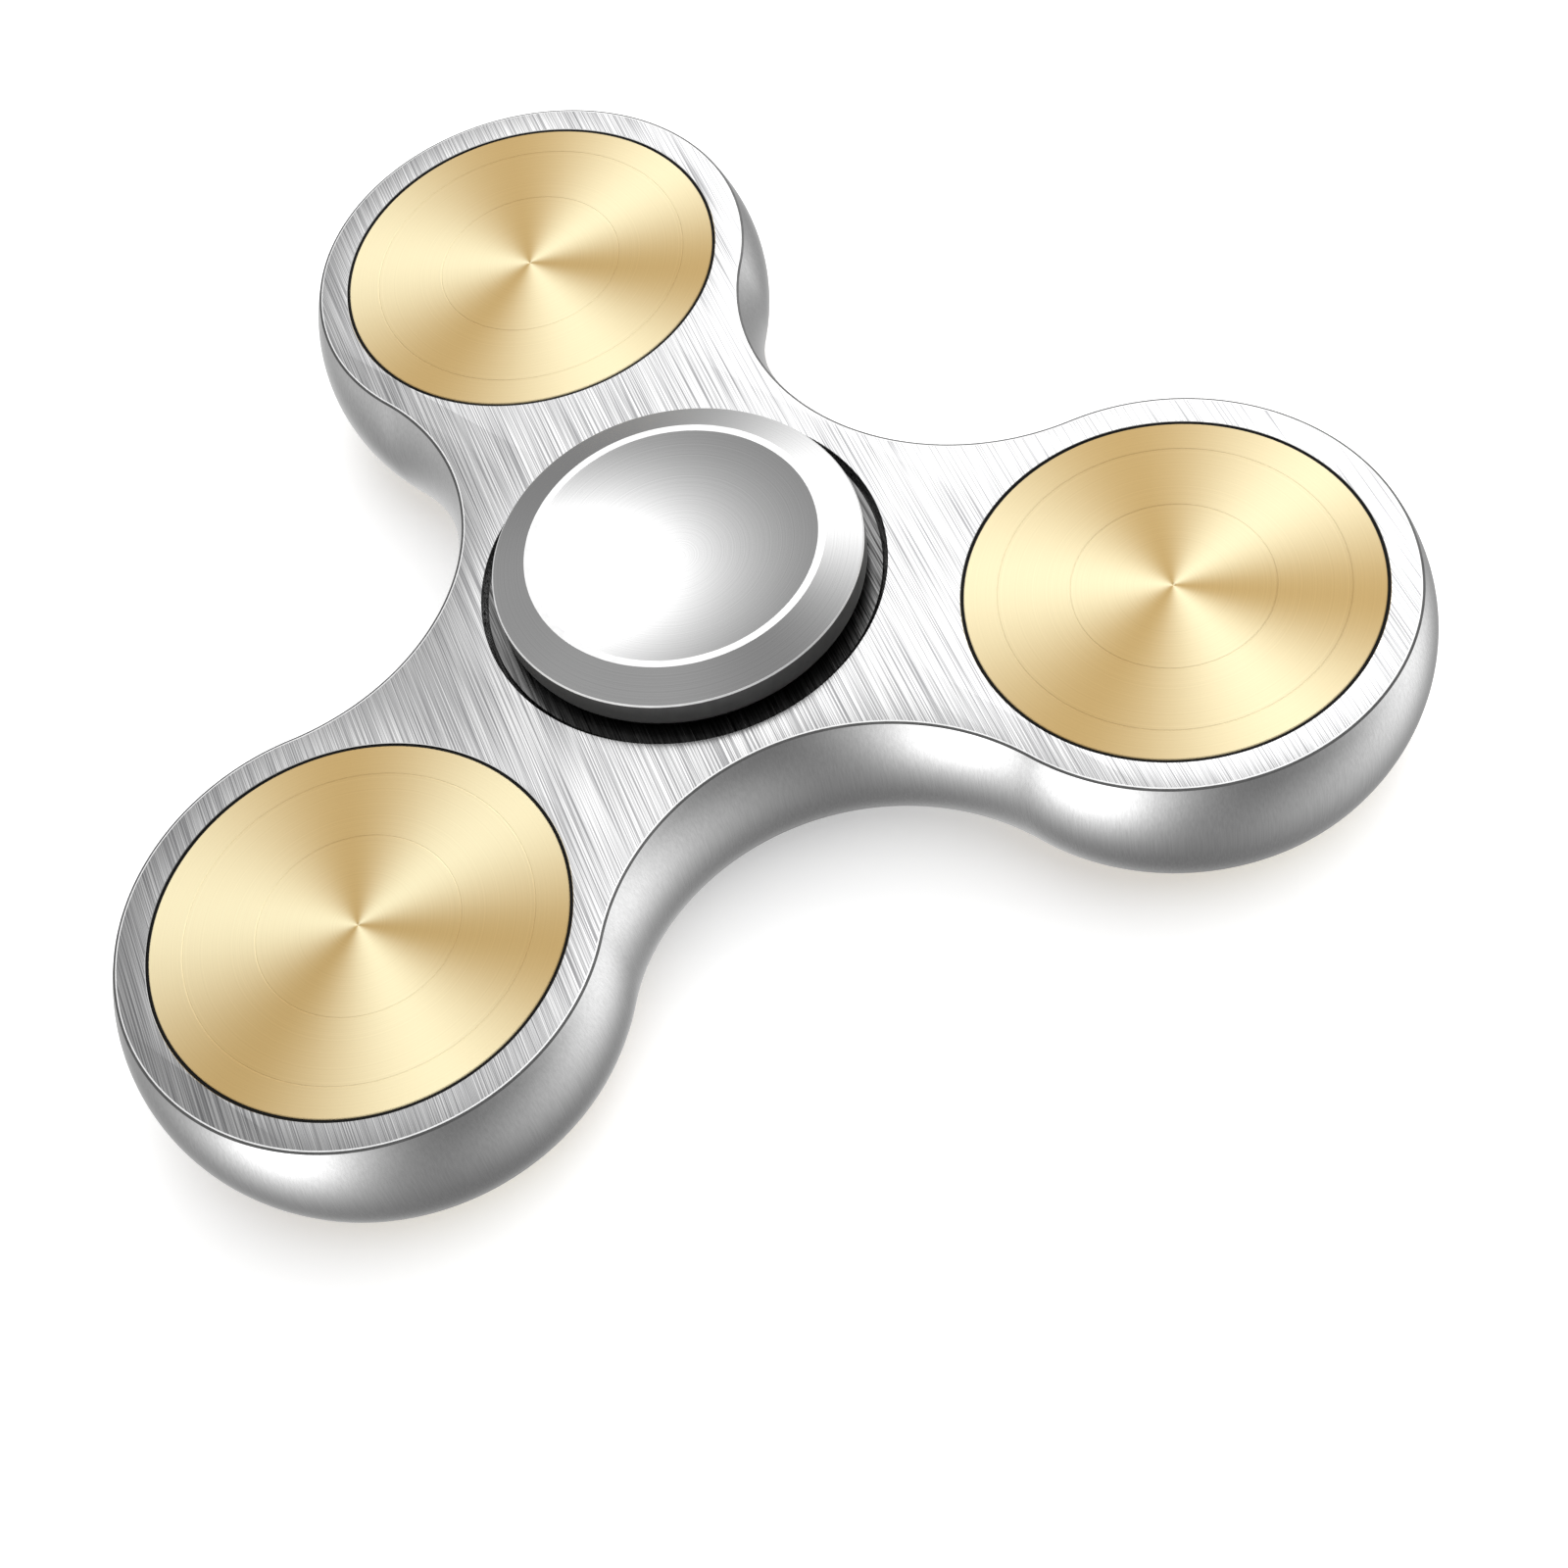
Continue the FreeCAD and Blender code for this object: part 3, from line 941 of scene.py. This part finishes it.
@dataclass
class LobeInlays:
    """The gold discs let into both faces of the lobes, and the rubber ring round each one."""

    pip_radius: float = 0.16 * MM
    pip_depth: float = 0.07 * MM
    scribed: tuple[float, ...] = (0.49, 0.84)
    scribe_width: float = 0.1 * MM
    scribe_depth: float = 0.02 * MM
    edge_bevel: float = 0.04 * MM
    face_bands: int = 6
    seal_round: float = 0.05 * MM
    seal_arc_steps: int = 4

    def disc_outline(self, radius: float, thickness: float) -> list[Corner]:
        """Gives a disc's outline, its top at half its thickness.

        Args:
            radius: The disc's radius.
            thickness: The disc's thickness.

        Returns:
            The corners, from the centre pip round to the middle of the underside.
        """
        top = thickness / 2
        face = [(0.0, top - self.pip_depth), (self.pip_radius, top)]
        last = self.pip_radius
        half = self.scribe_width / 2
        for share in self.scribed + (1.0,):
            middle_of_ring = share * radius
            stop = middle_of_ring - half if share < 1 else radius - self.edge_bevel
            for band in range(1, self.face_bands + 1):
                face.append((last + (stop - last) * band / self.face_bands, top))
            if share < 1:
                face.append((middle_of_ring, top - self.scribe_depth))
                face.append((middle_of_ring + half, top))
            last = middle_of_ring + half
        face += [(radius, top - self.edge_bevel), (radius, -top), (0.0, -top)]
        return [Corner(across, height, GOLD_FACE) for across, height in face]

    def seal_outline(self, inner: float, outer: float, height: float) -> list[Corner]:
        """Gives the section of a rubber ring with a flat top between two small roundings.

        Args:
            inner: Its inner radius.
            outer: Its outer radius.
            height: Its height, centred on its own origin.

        Returns:
            The corners, all round the section.
        """
        bend = self.seal_round
        top = height / 2
        up = math.pi / 2
        steps = self.seal_arc_steps
        return [
            Corner(inner, -top, BLACK_SEAL),
            Corner(outer, -top, BLACK_SEAL),
            *arc_corners((outer - bend, top - bend), bend, 0.0, up, steps, BLACK_SEAL),
            *arc_corners((inner + bend, top - bend), bend, up, math.pi, steps, BLACK_SEAL),
        ]

    def build(self) -> None:
        """Builds and dresses the six discs and the six rings."""
        for side in Side:
            word = side.name.lower()
            for number in (1, 2, 3):
                node = f"disc_{word}_{number}"
                low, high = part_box(node)
                mesh, finishes = turned_mesh(self.disc_outline(outer_radius(node), high.z - low.z))
                add_piece(
                    f"spun_disc_{word}_{number}", node, mesh, finishes, "rotor",
                    middle(node), flipped=side is Side.BOTTOM,
                )
                ring = f"gasket_{word}_{number}"
                low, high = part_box(ring)
                section = self.seal_outline(outer_radius(node), outer_radius(ring), high.z - low.z)
                mesh, finishes = turned_mesh(section, ring=True)
                add_piece(
                    f"seal_ring_{word}_{number}", ring, mesh, finishes, "rotor",
                    middle(ring), flipped=side is Side.BOTTOM,
                )


@dataclass
class FingerPads:
    """The two dished caps that the spinner is held by, screwed together through the bearing."""

    bevel_width: float = 1.84 * MM
    bevel_depth: float = 0.79 * MM
    edge_bevel: float = 0.08 * MM
    rim: float = 0.41 * MM
    dish_depth: float = 1.2 * MM
    round_off: float = 0.7 * MM
    land_wall: float = 1.6 * MM
    spigot_radius: float = 4.0 * MM
    spigot_end: float = 0.1 * MM
    stud_radius: float = 2.5 * MM
    stud_reach: float = 3.0 * MM
    stud_end_gap: float = 0.4 * MM
    stud_edge: float = 0.4 * MM
    pad_clearance: float = 0.3 * MM
    dish_steps: int = 28
    round_steps: int = 10

    def outline(self, side: Side) -> list[Corner]:
        """Gives a pad's outline as it stands on the top side.

        Args:
            side: Which pad: the top one has the hole for the stud, the bottom one the stud.

        Returns:
            The corners, from the middle of the dish round to the end of the spigot.
        """
        top = CAD_BOX[1].z
        outer = outer_radius("finger_pad_top")
        land_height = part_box("bearing_inner_race")[1].z
        spigot = self.spigot_radius
        rim_end = outer - self.edge_bevel - self.bevel_width
        dish_end = rim_end - self.rim
        bend = (dish_end ** 2 / self.dish_depth + self.dish_depth) / 2
        sweep = math.asin(dish_end / bend)
        lowest = top - self.dish_depth
        down = -math.pi / 2
        corners = arc_corners((0.0, lowest + bend), bend, down, down + sweep, self.dish_steps, PAD_STEEL)
        corners[-1] = Corner(dish_end, top, PAD_RIM)
        foot = top - self.bevel_depth
        underside = land_height + self.pad_clearance
        # The outer wall and its rounding are dark grey: painted shade, as they stand in the shade of the
        # well.
        corners += [
            Corner(rim_end, top, PAD_STEEL),
            Corner(outer - self.edge_bevel, foot, PAD_RIM),
            Corner(outer, foot - self.edge_bevel, PAD_WALL),
        ]
        centre = (outer - self.round_off, underside + self.round_off)
        corners += arc_corners(centre, self.round_off, 0.0, down, self.round_steps, PAD_WALL)
        land = spigot + self.land_wall
        rest = [(land, underside), (land, land_height), (spigot, land_height), (spigot, self.spigot_end)]
        rest.append((self.stud_radius, self.spigot_end))
        if side is Side.TOP:
            depth = self.stud_reach + self.stud_end_gap
            rest += [(self.stud_radius, depth), (0.0, depth)]
        else:
            reach = -self.stud_reach
            rest += [
                (self.stud_radius, reach + self.stud_edge),
                (self.stud_radius - self.stud_edge, reach),
                (0.0, reach),
            ]
        return corners + [Corner(across, height, PAD_STEEL) for across, height in rest]

    def build(self) -> None:
        """Builds and dresses both pads."""
        for side in Side:
            word = side.name.lower()
            mesh, finishes = turned_mesh(self.outline(side))
            add_piece(
                f"finger_cap_{word}", f"finger_pad_{word}", mesh, finishes, "hub",
                flipped=side is Side.BOTTOM,
            )


@dataclass
class InnerWorks:
    """The bearing and weights keep CAD shapes and get real finishes, but the rings' black is painted
    shade.
    """

    balls: int = 7

    def finishes(self) -> dict[str, Finish]:
        """Gives every carried-over node its finish.

        Returns:
            The finish by the node's name.
        """
        table = {"cage_rivets": SHEET_STEEL}
        # Both bearing rings are near black: painted shade for the dark well round the pad.
        table.update({f"bearing_{ring}_race": RING_STEEL for ring in ("outer", "inner")})
        for side in Side:
            word = side.name.lower()
            table[f"bearing_shield_{word}"] = SHEET_STEEL
            table[f"cage_half_{word}"] = SHEET_STEEL
        table.update({f"ball_{number}": BALL_STEEL for number in range(1, self.balls + 1)})
        table.update({f"weight_{number}": BAR_STEEL for number in (1, 2, 3)})
        return table

    def build(self) -> None:
        """Dresses the carried-over nodes."""
        for node, finish in self.finishes().items():
            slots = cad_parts[node].data.materials
            slots.clear()
            slots.append(finish.material())
            log.info("%s: %s", node, finish.name)


# ---------------------------------------------------------------------------------------------
# Studio
# ---------------------------------------------------------------------------------------------


class Power(Enum):
    """How strongly a soft box glows, beside a white surface in full light at 1."""

    BRIGHT = 0.9
    SOFT = 0.6
    FAINT = 0.25


class Size(Enum):
    """How wide a soft box looks from the object: the angle at which its glow has fallen away."""

    WIDE = math.radians(20)
    NARROW = math.radians(12)


@dataclass(frozen=True)
class SoftGlow:
    """One soft box of the studio, as a round glow in a direction from the object."""

    name: str
    azimuth: float
    elevation: float
    size: Size
    power: Power

    def direction(self) -> tuple[float, float, float]:
        """Points towards the glow.

        Returns:
            A unit vector.
        """
        level = math.cos(math.radians(self.elevation))
        height = math.sin(math.radians(self.elevation))
        return tuple(polar(level, math.radians(self.azimuth), height))


@dataclass
class Studio:
    """Camera, pale floor and soft light."""

    camera_place: tuple[float, float, float] = (75.68 * MM, -58.44 * MM, 120.38 * MM)
    camera_target: tuple[float, float, float] = (10.92 * MM, -5.96 * MM, 0.0)
    camera_roll: float = math.radians(-15.26)
    lens: float = 64.59
    floor_size: float = 6.0
    floor_glow: float = 0.35
    ambient: float = 0.1
    backdrop: float = 1.0
    lamp_power: float = 7.0
    lamp_size: float = 1.3
    lamp_place: tuple[float, float, float] = (0.12, 0.3, 0.75)
    glows: tuple[SoftGlow, ...] = (
        SoftGlow("key", 120.0, 50.0, Size.WIDE, Power.BRIGHT),
        SoftGlow("key_middle", 115.0, 45.0, Size.NARROW, Power.BRIGHT),
        SoftGlow("key_crest", 120.0, 60.0, Size.NARROW, Power.FAINT),
        SoftGlow("key_foot", 110.0, 25.0, Size.WIDE, Power.BRIGHT),
        SoftGlow("back", 80.0, 0.0, Size.WIDE, Power.FAINT),
        SoftGlow("left", 200.0, 0.0, Size.WIDE, Power.SOFT),
        SoftGlow("front", -80.0, 0.0, Size.WIDE, Power.BRIGHT),
        SoftGlow("front_card", -90.0, -20.0, Size.NARROW, Power.BRIGHT),
        SoftGlow("front_fill", -60.0, 50.0, Size.WIDE, Power.SOFT),
        SoftGlow("side_fill", -120.0, 30.0, Size.WIDE, Power.SOFT),
        SoftGlow("table_right", 50.0, -25.0, Size.WIDE, Power.BRIGHT),
        SoftGlow("table_front", -100.0, -30.0, Size.WIDE, Power.SOFT),
        SoftGlow("table_left", 150.0, -50.0, Size.WIDE, Power.SOFT),
        SoftGlow("table_near", 0.0, -40.0, Size.WIDE, Power.FAINT),
    )

    def add_camera(self) -> None:
        """Makes the scene's camera."""
        data = bpy.data.cameras.new("camera")
        data.lens = self.lens
        data.clip_start = MM
        camera = bpy.data.objects.new("camera", data)
        place = Vector(self.camera_place)
        aim = (Vector(self.camera_target) - place).to_track_quat("-Z", "Y")
        camera.location = place
        camera.rotation_mode = "QUATERNION"
        camera.rotation_quaternion = aim @ Quaternion((0.0, 0.0, 1.0), self.camera_roll)
        bpy.context.scene.collection.objects.link(camera)
        bpy.context.scene.camera = camera

    def add_floor(self) -> None:
        """Lays a pale matt floor under the lower finger pad."""
        mesh = bmesh.new()
        bmesh.ops.create_grid(mesh, x_segments=2, y_segments=2, size=self.floor_size / 2)
        data = bpy.data.meshes.new("floor")
        mesh.to_mesh(data)
        mesh.free()
        paint = Surface("pale_floor_paint", Metallic=0.0, Emission_Strength=self.floor_glow)
        paint.feed("Emission Color", linear("#FFFFFF"))
        mottle = paint.grain((40 * MM, 40 * MM, 40 * MM), 0.0, 2.0)
        paint.tint(mottle, "#F4F4F4", "#F8F8F8")
        paint.vary("Roughness", mottle, 0.85, 0.95)
        data.materials.append(paint.material)
        floor = bpy.data.objects.new("floor", data)
        floor.location.z = CAD_BOX[0].z
        floor.visible_glossy = False
        bpy.context.scene.collection.objects.link(floor)

    def add_lamp(self) -> None:
        """Hangs one large soft lamp, which lights the floor and the matt parts."""
        data = bpy.data.lights.new("overhead_lamp", "AREA")
        data.shape = "DISK"
        data.size = self.lamp_size
        data.energy = self.lamp_power
        lamp = bpy.data.objects.new("overhead_lamp", data)
        lamp.location = self.lamp_place
        lamp.rotation_mode = "QUATERNION"
        lamp.rotation_quaternion = (-Vector(self.lamp_place)).to_track_quat("-Z", "Y")
        lamp.visible_glossy = False
        bpy.context.scene.collection.objects.link(lamp)

    def add_world(self) -> None:
        """Surrounds the object with the soft boxes, and shows the camera a plain backdrop."""
        world = bpy.data.worlds.new("studio")
        world.use_nodes = True
        tree = world.node_tree
        tree.nodes.clear()
        look = add_node(tree, "ShaderNodeTexCoord").outputs["Generated"]
        total: Socket | float = self.ambient
        for glow in self.glows:
            near = add_node(
                tree,
                "ShaderNodeVectorMath",
                {0: look, 1: glow.direction()},
                operation="DOT_PRODUCT",
                label=glow.name,
            ).outputs["Value"]
            tight = 1 / glow.size.value ** 2
            fall = add_node(
                tree, "ShaderNodeMath", {0: near, 1: tight, 2: -tight}, operation="MULTIPLY_ADD"
            )
            shape = add_node(tree, "ShaderNodeMath", {0: fall.outputs[0]}, operation="EXPONENT")
            total = add_node(
                tree,
                "ShaderNodeMath",
                {0: shape.outputs[0], 1: glow.power.value, 2: total},
                operation="MULTIPLY_ADD",
            ).outputs[0]
        boxes = add_node(tree, "ShaderNodeBackground", {"Strength": total})
        plain = add_node(tree, "ShaderNodeBackground", {"Strength": self.backdrop})
        for light in (boxes, plain):
            light.inputs["Color"].default_value = linear("#FFFFFF")
        seen = add_node(tree, "ShaderNodeLightPath").outputs["Is Camera Ray"]
        both = add_node(
            tree,
            "ShaderNodeMixShader",
            {0: seen, 1: boxes.outputs[0], 2: plain.outputs[0]},
        )
        add_node(tree, "ShaderNodeOutputWorld", {"Surface": both.outputs[0]})
        bpy.context.scene.world = world

    def build(self) -> None:
        """Sets up the camera, the floor and all the light."""
        self.add_camera()
        self.add_floor()
        self.add_lamp()
        self.add_world()
        bpy.context.scene.view_settings.view_transform = "Standard"


def main() -> None:
    """Builds the spinner from the outside in, and then the studio round it."""
    logging.basicConfig(level=logging.INFO, format="%(name)s: %(message)s")
    for assembly in (SpinnerPlate(), LobeInlays(), FingerPads(), InnerWorks()):
        assembly.build()
        log.info("%s is built", type(assembly).__name__)
    Studio().build()


if __name__ == "__main__":
    main()
